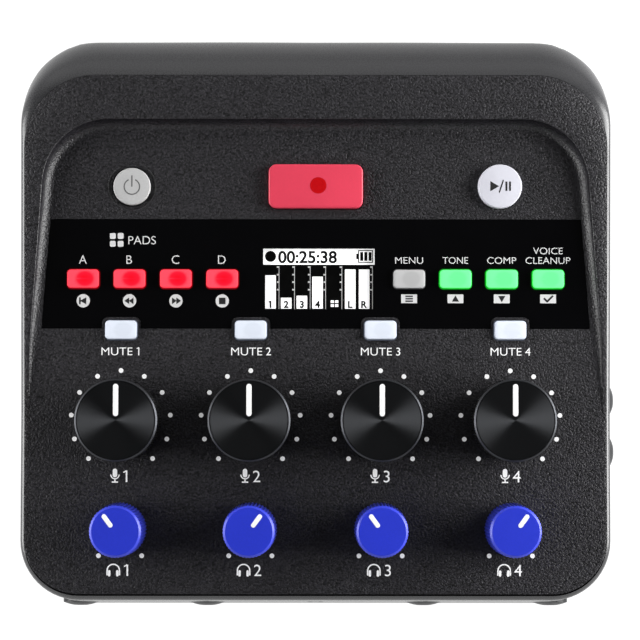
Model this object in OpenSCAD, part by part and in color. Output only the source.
/* [Case] */
// Overall width of the case
case_w = 150; // [148:1:160]
// Overall depth of the case
case_d = 142.5; // [141:0.5:155]
// Height of the control panel's front edge above the table
front_h = 30; // [29:0.5:36]
// Slope of the control panel, in degrees
panel_tilt = 6; // [5:0.5:8]
// Corner radius at the front of the case
front_r = 15; // [12:0.5:16]
// Corner radius at the rear of the case
rear_r = 19; // [16:0.5:22]
// Thickness of the case walls
wall = 2.2; // [1.8:0.1:2.6]
// Thickness of the case floor
floor_t = 2.2; // [1.8:0.1:2.6]
// Bevel round the bottom edge of the case
base_edge = 1.5; // [0.5:0.1:2]
// Depth of the rounded brow behind the cover, seen from above
brow_d = 10.3; // [8:0.1:12]
// Slope at which the brow leaves the cover, in degrees
brow_from = 15; // [10:1:25]
// Slope at which the brow meets the rear wall, in degrees
brow_to = 60; // [50:1:75]

/* [Top cover] */
// Thickness of the panel
cover_t = 2.5; // [2.2:0.1:3]
// Thickness of the case lip round the cover
lip_t = 1; // [0.8:0.1:1.3]
// Gap between the cover and the case lip
cover_gap = 0.3; // [0.2:0.05:0.5]
// Distance from the front edge to where the raised rim begins
rim_row = 46; // [40:1:55]
// Slope of the rim over the panel, in degrees
rim_slope = 3.5; // [2:0.25:4.5]
// Width of the rim behind the panel
rim_back = 11.8; // [9:0.1:13]
// Width of the rim beside the panel, at the rear
rim_side = 6.4; // [5:0.1:8]
// Width of the rim beside the panel, where it begins
rim_side_front = 0.7; // [0.4:0.1:1.5]
// Corner radius of the panel between the rims
recess_r = 16; // [10:0.5:18]

/* [Display] */
// Thickness of the glossy window
window_t = 1.2; // [0.8:0.1:1.5]
// Distance from the front edge to the window
window_row = 67.5; // [66.5:0.1:69]
// Depth of the window along the panel
window_d = 27.8; // [26:0.1:29]
// Margin between the window and the rim
window_side = 1.6; // [1.2:0.1:2.5]
// Gap round the window
window_gap = 0.1; // [0.05:0.05:0.2]
// Width of the display
lcd_w = 28.4; // [26:0.1:30]
// Depth of the display along the panel
lcd_d = 15.6; // [14:0.1:17]
// Offset of the display from the middle
lcd_x = 0.8; // [0:0.1:1]

/* [Knobs] */
// Distance between two channels
channel_pitch = 33; // [32:0.1:33.5]
// Distance from the front edge to the headphone knobs
phones_row = 16.6; // [15.5:0.1:17.5]
// Distance from the front edge to the microphone knobs
mic_row = 44.1; // [43:0.1:45]
// Diameter of the microphone knobs
mic_knob_dia = 20.6; // [18:0.1:22]
// Diameter of the headphone knobs at the base
phones_knob_dia = 13.6; // [13:0.1:15]
// Diameter of the headphone knobs at the top
phones_knob_top = 13; // [12:0.1:13.5]
// Height of the knobs
knob_h = 14.5; // [13:0.5:16]
// Gap between a knob and the panel
knob_lift = 0.8; // [0.5:0.1:1.2]
// Diameter of the knob shafts
shaft_dia = 6; // [5.5:0.1:6.2]
// Turn of the headphone pointers at rest from straight ahead, in degrees
phones_turn = 36; // [20:1:45]

/* [Keys] */
// Width of a small key
key_w = 8.1; // [7.5:0.1:8.6]
// Depth of a small key
key_d = 4.8; // [4.4:0.1:5.2]
// Distance between two small keys
key_pitch = 11.8; // [11.4:0.1:12]
// Distance of the first small key from the middle
key_first = 23.8; // [23.5:0.1:24.5]
// Distance from the front edge to the small keys
key_row = 80.1; // [79:0.1:81]
// Distance from the front edge to the mute keys
mute_row = 67.1; // [66.5:0.1:67.5]
// Height of a small key over the panel
key_proud = 1.2; // [0.8:0.1:1.6]
// Travel of a small key
key_travel = 0.6; // [0.4:0.05:0.8]
// Width of the record button
record_w = 24; // [20:0.5:26]
// Depth of the record button
record_d = 11.2; // [10:0.1:12]
// Diameter of the power button
power_dia = 9.5; // [9:0.1:10]
// Height of the power button over the panel
power_proud = 0.8; // [0.4:0.1:1.2]
// Diameter of the play button
play_dia = 11.2; // [10:0.1:12]
// Distance of the round buttons from the middle
round_x = 46.9; // [45:0.1:49]
// Distance from the front edge to the three large buttons
button_row = 103.7; // [103:0.1:105]
// Height of the record and play buttons over the panel
button_proud = 2; // [1.5:0.1:2.5]
// Travel of the large buttons
button_travel = 0.8; // [0.6:0.05:1]
// Gap round every key and button
key_gap = 0.25; // [0.2:0.05:0.35]

/* [Sockets] */
// Bore of the small jacks
jack_bore = 3.6; // [3.55:0.01:3.7]
// Diameter of the collars of the small jacks
collar_dia = 9; // [8.4:0.1:9.4]
// Height of the headphone jack collars
phones_collar = 0.9; // [0.6:0.1:1.2]
// Height of the side jack collars
side_collar = 1.6; // [1.2:0.1:1.8]
// Distance of the outer headphone jacks from the side walls
jack_side = 13.9; // [13.5:0.1:15]
// Place of the rear jack in the right wall, from the panel's front edge
smartphone_row = 49.3; // [48.5:0.1:50]
// Place of the front jack in the right wall, from the panel's front edge
line_row = 36.1; // [35.5:0.1:37]
// Diameter of the microphone socket bodies
socket_dia = 24; // [23.5:0.1:24.5]
// Diameter of the microphone socket flanges
socket_flange = 26.6; // [26:0.1:27.5]
// Height of the microphone sockets over the table
socket_z = 22.5; // [20:0.5:24]

/* [Batteries] */
// Diameter of one cell
cell_dia = 14.5; // [14:0.1:15]
// Length of one cell
cell_len = 50.5; // [49:0.1:51]
// Thickness of the battery cover
door_t = 2; // [1.6:0.1:2.4]
// Gap round the battery cover
door_gap = 0.3; // [0.2:0.05:0.5]
// Diameter of the barrel along the cover's hinged edge
barrel_dia = 3.6; // [3.4:0.1:4.2]

/* [Feet] */
// Height of the feet under the case
foot_h = 1.5; // [1.2:0.1:2.5]
// Diameter of the feet
foot_dia = 12; // [10:0.5:13]

/* [Hidden] */
$fn = 64;
hull_fn = 32;
brow_steps = 7;
slice_t = 0.02;
far = 400;

// Clearances: turning shafts, pressed seats, close seats and free holes
run_gap = 0.05;
press_gap = 0.02;
seat_gap = 0.1;
hole_gap = 0.3;

// The panel's own frame: x to the right, y up the slope from the front edge, z out of the panel
panel_y = -case_d / 2 + lip_t + cover_gap;
cover_w = case_w - 2 * (lip_t + cover_gap);
cover_d = (case_d - lip_t - 2 * cover_gap - brow_d) / cos(panel_tilt);
cover_front_r = front_r - lip_t - cover_gap;
cover_rear_r = rear_r - lip_t;
recess_back = cover_d - rim_back;
brow_row = cover_d + cover_gap;

// Controls and sockets keep their share of the cover when its size changes from the one measured
measured_w = 147.4;
measured_d = 130.6;
across = cover_w / measured_w;
along = cover_d * cos(panel_tilt) / measured_d;
channel_x = [for (k = [-1.5:1.5]) k * channel_pitch * across];
phones_y = phones_row * along;
mic_y = mic_row * along;
mute_y = mute_row * along;
key_y = key_row * along;
button_y = button_row * along;
window_y = window_row * along;
window_deep = window_d * along;
rim_y = rim_row * along;
lcd_at = lcd_x * across;
lcd_wide = lcd_w * across;
lcd_deep = lcd_d * along;
round_at = round_x * across;
jack_far = case_w / 2 - jack_side;
jack_near = jack_far - channel_pitch * across;
smartphone_y = smartphone_row * along;
line_y = line_row * along;

// Slopes of the cover, as heights over the panel and over the table
function rim_height(row) = (row - rim_y) * tan(rim_slope);
function panel_z(y) = front_h + (y - panel_y) * tan(panel_tilt);
function recess_half(row) = cover_w / 2 - rim_side_front
    - (rim_side - rim_side_front) * (row - rim_y) / (recess_back - rim_y);

// The brow is an arc from the cover's rear edge to the rear wall
brow_y = panel_y + brow_row * cos(panel_tilt) - rim_height(brow_row) * sin(panel_tilt);
brow_z = front_h + brow_row * sin(panel_tilt) + rim_height(brow_row) * cos(panel_tilt);
brow_r = (case_d / 2 - brow_y) / (sin(brow_to) - sin(brow_from));
brow_mid_y = brow_y - brow_r * sin(brow_from);
brow_mid_z = brow_z - brow_r * cos(brow_from);

// Keys, with the order of the small ones from left to right
key_r = 1;
record_r = 2;
flange_out = 0.8;
flange_t = 1;
stem_r = 1.6;
dish_out = 1.4;
dish_deep = 0.6;
notch_side = 0.95;
notch_r = 1.6;
key_names = ["pad_key_a", "pad_key_b", "pad_key_c", "pad_key_d",
    "menu_key", "tone_key", "comp_key", "noise_key"];
key_x = across * [for (k = [0:7])
    k < 4 ? -key_first - (3 - k) * key_pitch : key_first + (k - 4) * key_pitch];

// Main board, as heights and rows in the panel's frame
board_t = 1.6;
socket_len = 24;
board_top = -cover_t - 7.5;
board_under = board_top - board_t;
board_half = case_w / 2 - 11;
board_tab = case_w / 2 - wall - 0.8;
board_front = 5;
board_gap = 3;
mic_board_y = case_d / 2 - socket_len - board_t;
board_back = (mic_board_y - board_gap - panel_y + board_under * sin(panel_tilt)) / cos(panel_tilt);
post_r = 2.8;
post_x = board_half - 3;
post_rows = [26 * along, 95 * along];
screw_r = 1.1;
screw_head_r = 2.1;
screw_head_t = 1.4;
screw_grip = 5;
lcd_edge = 0.5;
lcd_body_edge = 1.2;
switch_w = 5;
switch_h = 3;
plunger_r = 1.5;
plunger_h = 1;
plunger_top = board_top + switch_h + plunger_h;

// Potentiometers, shafts and knobs
pot_w = 10;
pot_d = 10.5;
pot_h = 6.3;
shaft_r = shaft_dia / 2;
shaft_foot = board_top + 1;
shaft_top = knob_lift + knob_h - 3;
bushing_r = shaft_r + 0.6;
bushing_top = knob_lift - 0.3;
hub_r = shaft_r + 1.5;
hub_lift = 0.5;
skirt_t = 1.2;
skirt_top = knob_lift + knob_h - 5;
pointer_w = 1.3;
pointer_deep = 0.4;
mic_pointer = [0.9, 8.6];
phones_pointer = [1.4, 5.2];
phones_turns = [phones_turn, -phones_turn, phones_turn, -phones_turn];

// Small jacks
jack_w = 9;
jack_h = 5;
jack_len = 10;
jack_end = 0.7;
jack_nose_r = 3.6;
collar_deep = 1.2;
side_nose = wall + hole_gap;
phones_nose = wall + 2.6;
phones_board_z = foot_h + floor_t + 4.7;
phones_board_top = phones_board_z + board_t;
phones_board_half = case_w / 2 - 8.5;
phones_board_d = 14;
phones_post_x = 45 * across;
phones_post_y = -case_d / 2 + 11.5;

// Microphone sockets
flange_h = 1.2;
socket_bore_r = 9.7;
socket_bore_len = 17;
insert_r = 7.8;
insert_sink = 1.5;
key_slot_w = 3;
key_slot_d = 1.2;
contact_turns = [90, 210, 330];
contact_ring = 4;
contact_r = 1.55;
contact_bore_r = 1.28;
contact_sink = 1;
contact_len = 14;
contact_end = 1.5;
tail_r = 0.6;
tail_over = 1;
mic_board_half = channel_x[3] + socket_dia / 2 + 1.5;
mic_board_h = 24;

// Power port and card slot, under the left edge of the main board
port_row = 60;
port_y = port_row * along;
port_w = 9;
port_h = 3.2;
port_r = 1.5;
port_t = 0.3;
port_len = 9;
port_flush = 0.5;
tongue_w = 6.6;
tongue_t = 0.7;
tongue_sink = 1.2;
card_row = 76;
card_y = card_row * along;
card_w = 14.4;
card_h = 1.9;
card_len = 15;
card_end = 1;
card_slot_w = 11.6;
card_slot_h = 1.1;
tab_edge = 1.3;
tab_front = port_y - port_w / 2 - tab_edge;
tab_back = card_y + card_w / 2 + tab_edge;
jack_tab_front = line_y - jack_w / 2 - tab_edge;
jack_tab_back = smartphone_y + jack_w / 2 + tab_edge;

// Battery bay: two rows of two cells laid from side to side
bay_wall = 1.5;
bay_play = [3, 2.5, 1.3];
bay_w = 2 * cell_len + bay_play[0];
bay_d = 2 * cell_dia + bay_play[1];
bay_h = cell_dia + bay_play[2];
bay_y = 1.75;
bay_front = bay_y - bay_d / 2;
bay_back = bay_y + bay_d / 2;
bay_base = foot_h + floor_t / 2;
bay_top = foot_h + door_t + bay_h;
barrel_r = barrel_dia / 2;
hinge_y = bay_back - door_gap - barrel_r;
hinge_z = foot_h + barrel_r;
hinge_pin_r = 1;
hinge_pin_len = 1.8;
ear_w = 4;
ear_d = 7;
scoop_r = 9;
scoop_deep = 1.2;
plate_t = 0.4;
plate_w = 9;
plate_h = 11;
plate_z = foot_h + door_t + 2;
dimple_r = 2.4;
dimple_h = 0.7;

// Feet and case screws, with the height at which each pair of posts meets the cover's pillars
foot_in = [16, 15];
foot_x = case_w / 2 - foot_in[0];
foot_y = case_d / 2 - foot_in[1];
foot_sink = 0.5;
case_post_in = 7;
case_post_front = 23;
case_post_back = 31;
case_post_tops = [18, 24];
case_post_x = case_w / 2 - case_post_in;
case_posts = [[case_post_front - case_d / 2, case_post_tops[0]],
    [case_d / 2 - case_post_back, case_post_tops[1]]];
case_post_r = 3.4;
pillar_r = 3;
case_screw_r = 1.45;
case_head_r = 2.7;
case_head_t = 1.8;
case_screw_up = 8;
case_screw_down = 5;

// Places

module on_panel() {
    translate([0, panel_y, front_h]) rotate([panel_tilt, 0, 0]) children();
}

module at_channels() {
    for (x = channel_x) translate([x, 0, 0]) children();
}

module at_small_keys() {
    for (x = key_x) translate([x, key_y, 0]) children();
    at_channels() translate([0, mute_y, 0]) children();
}

module at_large_keys() {
    for (x = [-round_at, 0, round_at]) translate([x, button_y, 0]) children();
}

module at_board_posts() {
    for (side = [-1, 1]) for (row = post_rows) translate([side * post_x, row, 0]) children();
}

module at_phones_posts() {
    for (side = [-1, 1]) translate([side * phones_post_x, phones_post_y, 0]) children();
}

// Gives its children the post's place along y and the height of its top
module at_case_posts() {
    for (side = [-1, 1]) for (post = case_posts)
        let ($post_y = post[0], $post_top = post[1])
            translate([side * case_post_x, $post_y, 0]) children();
}

module at_feet() {
    for (x = [-foot_x, foot_x]) for (y = [-foot_y, foot_y]) translate([x, y, 0]) children();
}

// Headphone jacks look out of the front wall, each further out than its knob, with +z inwards
module at_phones_jack(k) {
    x = (k == 0 || k == 3) ? jack_far : jack_near;
    translate([sign(channel_x[k]) * x, -case_d / 2, phones_board_top + jack_h / 2])
        rotate([-90, 0, 0]) children();
}

// Side jacks look out of the right wall from the top of the main board, with +z inwards
module at_side_jack(row) {
    on_panel() translate([case_w / 2, row, board_top + jack_h / 2]) rotate([0, 0, 90])
        rotate([-90, 0, 0]) children();
}

// Microphone sockets look out of the rear wall, with +z inwards and +y up
module at_mic_socket(k) {
    translate([channel_x[k], case_d / 2, socket_z]) rotate([90, 0, 0]) children();
}

module at_contacts() {
    for (turn = contact_turns) rotate(turn) translate([contact_ring, 0, 0]) children();
}

// The port and the card slot look out of the left wall, with +z inwards and +y up
module at_left_wall(row, inset, h) {
    on_panel() translate([inset - case_w / 2, row, board_under - h / 2]) rotate([90, 0, 90]) children();
}

// Outlines

// A rectangle from y0 to y1 with one corner radius at each end
module rounded_outline(w, y0, y1, r0, r1) {
    for (side = [-1, 1]) {
        translate([side * (w / 2 - r0), y0 + r0]) circle(r0);
        translate([side * (w / 2 - r1), y1 - r1]) circle(r1);
    }
    translate([-w / 2, y0 + r0]) square([w, y1 - y0 - r0 - r1]);
    translate([r0 - w / 2, y0]) square([w - 2 * r0, r0 + r1]);
    translate([r1 - w / 2, y1 - r0 - r1]) square([w - 2 * r1, r0 + r1]);
}

module rounded_rect(w, d, r) {
    rounded_outline(w, -d / 2, d / 2, r, r);
}

// The case seen from above, drawn in by inset and cut short at the back
module case_outline(inset, back) {
    rounded_outline(case_w - 2 * inset, inset - case_d / 2, back, front_r - inset, rear_r - inset);
}

module cover_outline(grow) {
    rounded_outline(cover_w + 2 * grow, -grow, cover_d + grow, cover_front_r + grow, cover_rear_r + grow);
}

// The panel between the rims, from one row to another, with round corners at the back
module recess_outline(inset, front, back, r) {
    lean = atan((recess_half(front) - recess_half(back)) / (back - front));
    mid_x = recess_half(back) - inset - r * (1 - sin(lean)) / cos(lean);
    side = [mid_x + r * cos(lean), back - r + r * sin(lean)];
    front_x = recess_half(front) - inset;
    polygon([[-front_x, front], [front_x, front], side,
        [mid_x, back], [-mid_x, back], [-side[0], side[1]]]);
    for (x = [-mid_x, mid_x]) translate([x, back - r]) circle(r);
}

// The window follows the rim and leaves a notch round each mute key
module window_outline(grow) {
    difference() {
        recess_outline(window_side - grow, window_y - grow, window_y + window_deep + grow, key_r);
        at_channels() translate([0, mute_y]) rounded_rect(key_w + 2 * (notch_side - grow),
            key_d + 2 * (notch_side - grow), notch_r);
    }
}

module small_key_outline(grow) {
    rounded_rect(key_w + 2 * grow, key_d + 2 * grow, key_r + grow);
}

module record_outline(grow) {
    rounded_rect(record_w + 2 * grow, record_d + 2 * grow, record_r + grow);
}

module key_openings(grow) {
    at_small_keys() small_key_outline(grow);
    translate([0, button_y]) record_outline(grow);
    translate([-round_at, button_y]) circle(power_dia / 2 + grow);
    translate([round_at, button_y]) circle(play_dia / 2 + grow);
}

module lcd_outline(grow) {
    translate([lcd_at, key_y]) square([lcd_wide + 2 * grow, lcd_deep + 2 * grow], center = true);
}

// Case

// The closed form of the case, walls and brow, drawn in by inset, with a bevel at its base
module case_form(inset, base_z, edge) {
    hull() {
        translate([0, 0, base_z]) linear_extrude(slice_t)
            case_outline(inset + edge, case_d / 2 - inset - edge, $fn = hull_fn);
        translate([0, 0, base_z + edge]) linear_extrude(slice_t)
            case_outline(inset, case_d / 2 - inset, $fn = hull_fn);
        for (step = [0:brow_steps]) {
            slope = brow_from + (brow_to - brow_from) * step / brow_steps;
            translate([0, 0, brow_mid_z + (brow_r - inset) * cos(slope) - slice_t]) linear_extrude(slice_t)
                case_outline(inset, brow_mid_y + (brow_r - inset) * sin(slope), $fn = hull_fn);
        }
    }
}

// Everything over the panel and over the rim, as far back as the brow
module over_the_top() {
    on_panel() rotate([90, 0, 90]) linear_extrude(far, center = true)
        polygon([[-far, 0], [rim_y, 0], [brow_row, rim_height(brow_row)], [brow_row, far], [-far, far]]);
}

module bay_shell() {
    translate([-bay_w / 2 - bay_wall, bay_front - bay_wall, bay_base])
        cube([bay_w + 2 * bay_wall, bay_d + 2 * bay_wall, bay_top + bay_wall - bay_base]);
    for (side = [-1, 1])
        translate([side * (bay_w + ear_w) / 2, hinge_y, bay_base + ear_w / 2])
            cube([ear_w, ear_d, ear_w], center = true);
}

module bay_space() {
    translate([-bay_w / 2, bay_front, 0]) cube([bay_w, bay_d, bay_top]);
    translate([0, hinge_y, hinge_z]) rotate([0, 90, 0])
        cylinder(r = hinge_pin_r + run_gap, h = bay_w + 2 * (hinge_pin_len + hole_gap), center = true);
    translate([0, bay_front, foot_h + scoop_deep - scoop_r]) rotate([0, 90, 0])
        cylinder(r = scoop_r, h = 2 * scoop_r, center = true);
}

// Stepped hole for a jack: a seat for the collar and a way in for the nose
module jack_hole() {
    translate([0, 0, -collar_dia]) cylinder(r = collar_dia / 2 + seat_gap, h = collar_dia + collar_deep);
    cylinder(r = jack_nose_r + hole_gap, h = wall + front_r / 2);
}

module case_openings() {
    for (k = [0:3]) {
        at_phones_jack(k) jack_hole();
        at_mic_socket(k) cylinder(r = socket_dia / 2 + seat_gap, h = 4 * wall, center = true);
    }
    at_side_jack(smartphone_y) jack_hole();
    at_side_jack(line_y) jack_hole();
    at_left_wall(port_y, 0, port_h) linear_extrude(4 * wall, center = true)
        rounded_rect(port_w + 2 * hole_gap, port_h + 2 * hole_gap, port_r + hole_gap);
    at_left_wall(card_y, 0, card_h) linear_extrude(4 * wall, center = true)
        square([card_slot_w + 2 * hole_gap, card_slot_h + 2 * hole_gap], center = true);
    at_feet() cylinder(r = foot_dia / 2 + seat_gap, h = foot_h + foot_sink);
    at_case_posts() {
        cylinder(r = case_screw_r + run_gap, h = far);
        cylinder(r = case_head_r + hole_gap, h = $post_top - case_screw_down);
    }
    at_phones_posts() translate([0, 0, phones_board_top - screw_grip])
        cylinder(r = screw_r + run_gap, h = screw_grip);
}

module lower_case() {
    color("#303134") difference() {
        union() {
            difference() {
                case_form(0, foot_h, base_edge);
                over_the_top();
                on_panel() translate([0, 0, -cover_t]) linear_extrude(far) cover_outline(cover_gap);
                case_form(wall, foot_h + floor_t, 0);
            }
            bay_shell();
            at_case_posts() translate([0, 0, bay_base])
                cylinder(r = case_post_r, h = $post_top - bay_base);
            at_phones_posts() translate([0, 0, bay_base])
                cylinder(r = post_r, h = phones_board_z - bay_base);
        }
        bay_space();
        case_openings();
    }
}

module top_cover() {
    rim_space_w = 2 * (recess_half(recess_back) - recess_r);
    rim_space_top = rim_height(recess_back) - cover_t;
    color("#2a2b2d") difference() {
        union() {
            on_panel() difference() {
                translate([0, 0, -cover_t]) linear_extrude(far) cover_outline(0);
                linear_extrude(far) recess_outline(0, rim_y / 2, recess_back, recess_r);
            }
            on_panel() at_board_posts() translate([0, 0, board_top])
                cylinder(r = post_r, h = -cover_t / 2 - board_top);
            at_case_posts() translate([0, 0, $post_top])
                cylinder(r = pillar_r, h = panel_z($post_y) - cover_t / 2 - $post_top);
        }
        over_the_top();
        on_panel() {
            translate([0, 0, -window_t]) linear_extrude(far) window_outline(window_gap);
            translate([0, 0, -far / 2]) linear_extrude(far) key_openings(key_gap);
            translate([0, 0, -far / 2]) linear_extrude(far) lcd_outline(2 * lcd_edge);
            translate([-round_at, button_y, -dish_deep]) cylinder(r = power_dia / 2 + dish_out, h = far);
            for (row = [phones_y, mic_y]) at_channels() translate([0, row, -far / 2])
                cylinder(r = bushing_r + hole_gap, h = far);
            at_board_posts() translate([0, 0, board_top]) cylinder(r = screw_r + run_gap, h = screw_grip);
            translate([0, recess_back + rim_back / 2, rim_space_top - far / 2])
                cube([rim_space_w, rim_back - 2 * cover_t, far], center = true);
        }
        at_case_posts() cylinder(r = case_screw_r + run_gap, h = $post_top + case_screw_up);
    }
}

// Display

module display_window() {
    color("#0a0a0c") on_panel() translate([0, 0, -window_t]) linear_extrude(window_t) difference() {
        window_outline(0);
        key_openings(key_gap);
    }
}

module lcd_module() {
    glass_base = -cover_t - lcd_edge;
    color("#e8ecef") on_panel() {
        translate([0, 0, glass_base]) linear_extrude(-window_t - run_gap - glass_base)
            lcd_outline(lcd_edge);
        translate([0, 0, board_top]) linear_extrude(glass_base - board_top)
            lcd_outline(lcd_body_edge);
    }
}

// Boards

module main_board() {
    color("#1f5c3a") on_panel() translate([0, 0, board_under]) linear_extrude(board_t) difference() {
        union() {
            translate([-board_half, board_front]) square([2 * board_half, board_back - board_front]);
            translate([-board_tab, tab_front]) square([board_tab, tab_back - tab_front]);
            translate([0, jack_tab_front]) square([board_tab, jack_tab_back - jack_tab_front]);
        }
        at_board_posts() circle(screw_r + hole_gap);
    }
}

module phones_board() {
    color("#1f5c3a") difference() {
        translate([-phones_board_half, phones_nose - case_d / 2, phones_board_z])
            cube([2 * phones_board_half, phones_board_d, board_t]);
        at_phones_posts() cylinder(r = screw_r + hole_gap, h = far);
    }
}

module mic_board() {
    color("#1f5c3a") difference() {
        translate([-mic_board_half, mic_board_y, socket_z - mic_board_h / 2])
            cube([2 * mic_board_half, board_t, mic_board_h]);
        for (k = [0:3]) at_mic_socket(k) at_contacts() cylinder(r = tail_r + hole_gap, h = 2 * socket_len);
    }
}

module board_screws() {
    color("silver") {
        on_panel() at_board_posts() {
            translate([0, 0, board_under - screw_head_t]) cylinder(r = screw_head_r, h = screw_head_t);
            translate([0, 0, board_under]) cylinder(r = screw_r, h = board_t + screw_grip - hole_gap);
        }
        at_phones_posts() {
            translate([0, 0, phones_board_top]) cylinder(r = screw_head_r, h = screw_head_t);
            translate([0, 0, phones_board_top - screw_grip + hole_gap])
                cylinder(r = screw_r, h = screw_grip - hole_gap);
        }
    }
}

module case_screws() {
    color("silver") at_case_posts() {
        translate([0, 0, $post_top - case_screw_down - case_head_t])
            cylinder(r = case_head_r, h = case_head_t);
        translate([0, 0, $post_top - case_screw_down])
            cylinder(r = case_screw_r, h = case_screw_down + case_screw_up - hole_gap);
    }
}

module key_switch() {
    translate([-switch_w / 2, -switch_w / 2, board_top]) cube([switch_w, switch_w, switch_h]);
    translate([0, 0, board_top]) cylinder(r = plunger_r, h = plunger_top - board_top);
}

module key_switches() {
    color("#26282b") on_panel() {
        at_small_keys() key_switch();
        at_large_keys() key_switch();
    }
}

// Keys

// A cap through the panel, over a flange that holds it in and a stem down to the switch.
// The first child is the cap's outline, the second the flange's.
module key(proud, travel) {
    flange_top = -cover_t - run_gap;
    stem_end = plunger_top + travel + seat_gap;
    on_panel() {
        translate([0, 0, flange_top]) linear_extrude(proud - flange_top) children(0);
        translate([0, 0, flange_top - flange_t]) linear_extrude(flange_t) children(1);
        translate([0, 0, stem_end]) linear_extrude(flange_top - stem_end) children(2);
    }
}

module small_key(x, row) {
    key(key_proud, key_travel) {
        translate([x, row]) small_key_outline(0);
        translate([x, row]) small_key_outline(flange_out);
        translate([x, row]) circle(stem_r);
    }
}

module record_button() {
    color("#e8465f") key(button_proud, button_travel) {
        translate([0, button_y]) record_outline(0);
        translate([0, button_y]) record_outline(flange_out);
        translate([0, button_y]) circle(stem_r);
    }
}

module round_button(x, dia, proud) {
    key(proud, button_travel) {
        translate([x, button_y]) circle(dia / 2);
        translate([x, button_y]) circle(dia / 2 + flange_out);
        translate([x, button_y]) circle(stem_r);
    }
}

module power_button() {
    color("#b9bbbe") round_button(-round_at, power_dia, power_proud);
}

module play_button() {
    color("#e9eef5") round_button(round_at, play_dia, button_proud);
}

module panel_key(k) {
    color(k < 4 ? "#ff3b40" : k == 4 ? "#b9bbbe" : "#62f08a") small_key(key_x[k], key_y);
}

module mute_key(k) {
    color("#dfe6f2") small_key(channel_x[k], mute_y);
}

// Dials

module pots(row) {
    color("#3c4046") on_panel() at_channels() translate([0, row, 0]) difference() {
        union() {
            translate([-pot_w / 2, -pot_d / 2, board_top]) cube([pot_w, pot_d, pot_h]);
            translate([0, 0, board_top]) cylinder(r = bushing_r, h = bushing_top - board_top);
        }
        translate([0, 0, shaft_foot - run_gap]) cylinder(r = shaft_r + run_gap, h = far);
    }
}

module shaft(k, row) {
    color("silver") on_panel() translate([channel_x[k], row, shaft_foot])
        cylinder(r = shaft_r, h = shaft_top - shaft_foot);
}

// A hollow knob on its hub, with a groove for the pointer in its top
module knob(k, row, base_r, top_r, pointer, turn) {
    on_panel() translate([channel_x[k], row, knob_lift]) difference() {
        cylinder(r1 = base_r, r2 = top_r, h = knob_h);
        translate([0, 0, -knob_lift]) difference() {
            cylinder(r = top_r - skirt_t, h = skirt_top);
            translate([0, 0, knob_lift + hub_lift]) cylinder(r = hub_r, h = knob_h);
        }
        translate([0, 0, -knob_lift]) cylinder(r = shaft_r + press_gap, h = shaft_top + press_gap);
        rotate(turn) translate([-pointer_w / 2, pointer[0], knob_h - pointer_deep])
            cube([pointer_w, pointer[1] - pointer[0], knob_h]);
    }
}

module mic_knob(k) {
    color("#1c1d1f") knob(k, mic_y, mic_knob_dia / 2, mic_knob_dia / 2, mic_pointer, 0);
}

module phones_knob(k) {
    color("#2e32c8")
        knob(k, phones_y, phones_knob_dia / 2, phones_knob_top / 2, phones_pointer, phones_turns[k]);
}

// Sockets

// A domed collar outside the wall, a nose through it and a body behind it
module jack(collar_h, nose, len) {
    half = collar_dia / 2;
    dome_r = (half * half + collar_h * collar_h) / (2 * collar_h);
    difference() {
        union() {
            intersection() {
                translate([0, 0, -collar_h]) cylinder(r = half, h = collar_h + collar_deep);
                translate([0, 0, dome_r - collar_h]) sphere(dome_r);
            }
            cylinder(r = jack_nose_r, h = nose);
            translate([-jack_w / 2, -jack_h / 2, nose]) cube([jack_w, jack_h, len]);
        }
        translate([0, 0, -2 * collar_h])
            cylinder(r = jack_bore / 2, h = 2 * collar_h + nose + len - jack_end);
    }
}

module phones_jack(k) {
    color("#1b1c1e") at_phones_jack(k) jack(phones_collar, phones_nose, jack_len);
}

module smartphone_jack() {
    color("#1b1c1e") at_side_jack(smartphone_y) jack(side_collar, side_nose, jack_len);
}

module line_jack() {
    color("#1b1c1e") at_side_jack(line_y) jack(side_collar, side_nose, jack_len);
}

// A flanged barrel with a keyway in its bore, and an end wall that holds the insert
module mic_socket(k) {
    color("#1b1c1e") at_mic_socket(k) difference() {
        union() {
            translate([0, 0, -flange_h]) cylinder(r = socket_flange / 2, h = flange_h);
            cylinder(r = socket_dia / 2, h = socket_len);
        }
        translate([0, 0, -2 * flange_h]) cylinder(r = socket_bore_r, h = 2 * flange_h + socket_bore_len);
        translate([-key_slot_w / 2, 0, -2 * flange_h])
            cube([key_slot_w, socket_bore_r + key_slot_d, 2 * flange_h + socket_bore_len]);
        cylinder(r = insert_r + press_gap, h = 2 * socket_len);
    }
}

module mic_inserts() {
    color("#26282b") for (k = [0:3]) at_mic_socket(k) difference() {
        translate([0, 0, insert_sink - flange_h])
            cylinder(r = insert_r, h = socket_len + flange_h - insert_sink);
        at_contacts() cylinder(r = contact_r + press_gap, h = 2 * socket_len);
    }
}

module mic_contacts() {
    contact_z = insert_sink + contact_sink - flange_h;
    color("#c9a24a") for (k = [0:3]) at_mic_socket(k) at_contacts() difference() {
        union() {
            translate([0, 0, contact_z]) cylinder(r = contact_r, h = contact_len);
            translate([0, 0, contact_z])
                cylinder(r = tail_r, h = socket_len + board_t + tail_over - contact_z);
        }
        cylinder(r = contact_bore_r, h = contact_z + contact_len - contact_end);
    }
}

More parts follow.
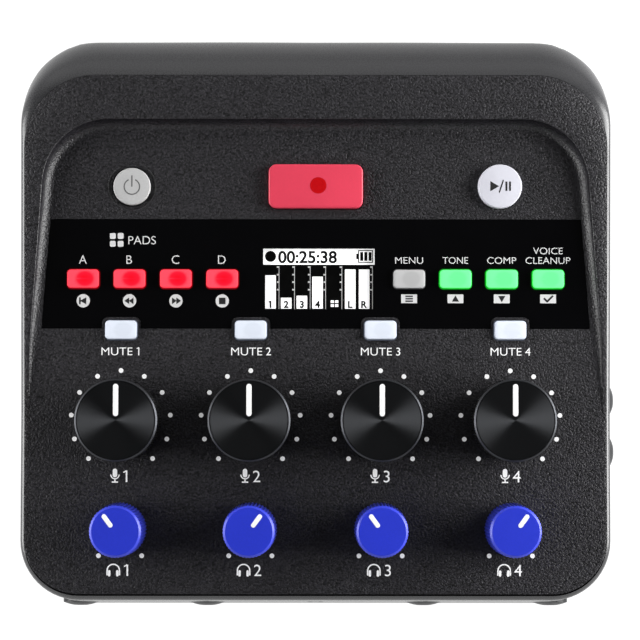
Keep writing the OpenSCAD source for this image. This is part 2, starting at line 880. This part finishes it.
module usb_port() {
    color("silver") at_left_wall(port_y, port_flush, port_h) {
        difference() {
            linear_extrude(port_len) rounded_rect(port_w, port_h, port_r);
            translate([0, 0, -port_len]) linear_extrude(2 * port_len - tongue_sink)
                rounded_rect(port_w - 2 * port_t, port_h - 2 * port_t, port_r - port_t);
        }
        translate([0, 0, port_len / 2 + tongue_sink / 2])
            cube([tongue_w, tongue_t, port_len - tongue_sink], center = true);
    }
}

module card_slot() {
    color("silver") at_left_wall(card_y, wall + hole_gap, card_h) difference() {
        translate([0, 0, card_len / 2]) cube([card_w, card_h, card_len], center = true);
        translate([0, 0, card_len / 2 - card_end])
            cube([card_slot_w, card_slot_h, card_len], center = true);
    }
}

// Batteries

module battery_cover() {
    door_half = bay_w / 2 - door_gap;
    color("#303134") {
        translate([-door_half, bay_front + door_gap, foot_h])
            cube([2 * door_half, hinge_y - bay_front - door_gap, door_t]);
        translate([0, hinge_y, hinge_z]) rotate([0, 90, 0]) {
            cylinder(r = barrel_r, h = 2 * door_half, center = true);
            cylinder(r = hinge_pin_r, h = bay_w + 2 * hinge_pin_len, center = true);
        }
    }
}

module battery_contacts() {
    color("#c8cbd0") for (side = [-1, 1]) for (row = [-1, 1])
        translate([side * bay_w / 2, bay_y + row * bay_d / 4, plate_z + plate_h / 2])
        rotate([0, -90 * side, 0]) {
            translate([0, 0, plate_t / 2]) cube([plate_h, plate_w, plate_t], center = true);
            cylinder(r = dimple_r, h = plate_t + dimple_h);
        }
}

module feet() {
    color("#141416") at_feet() cylinder(r = foot_dia / 2, h = foot_h + foot_sink);
}

lower_case();
top_cover();
display_window();
lcd_module();
main_board();
phones_board();
mic_board();
mic_inserts();
mic_contacts();
smartphone_jack();
line_jack();
usb_port();
card_slot();
battery_cover();
battery_contacts();
feet();
case_screws();
board_screws();
pots(mic_y);  // mic_pots
pots(phones_y);  // phones_pots
key_switches();
record_button();
power_button();
play_button();
for (k = [0:7]) {
    panel_key(k);
}
for (k = [0:3]) {
    mute_key(k);
    mic_knob(k);
    shaft(k, mic_y);
    phones_knob(k);
    shaft(k, phones_y);
    phones_jack(k);
    mic_socket(k);
}
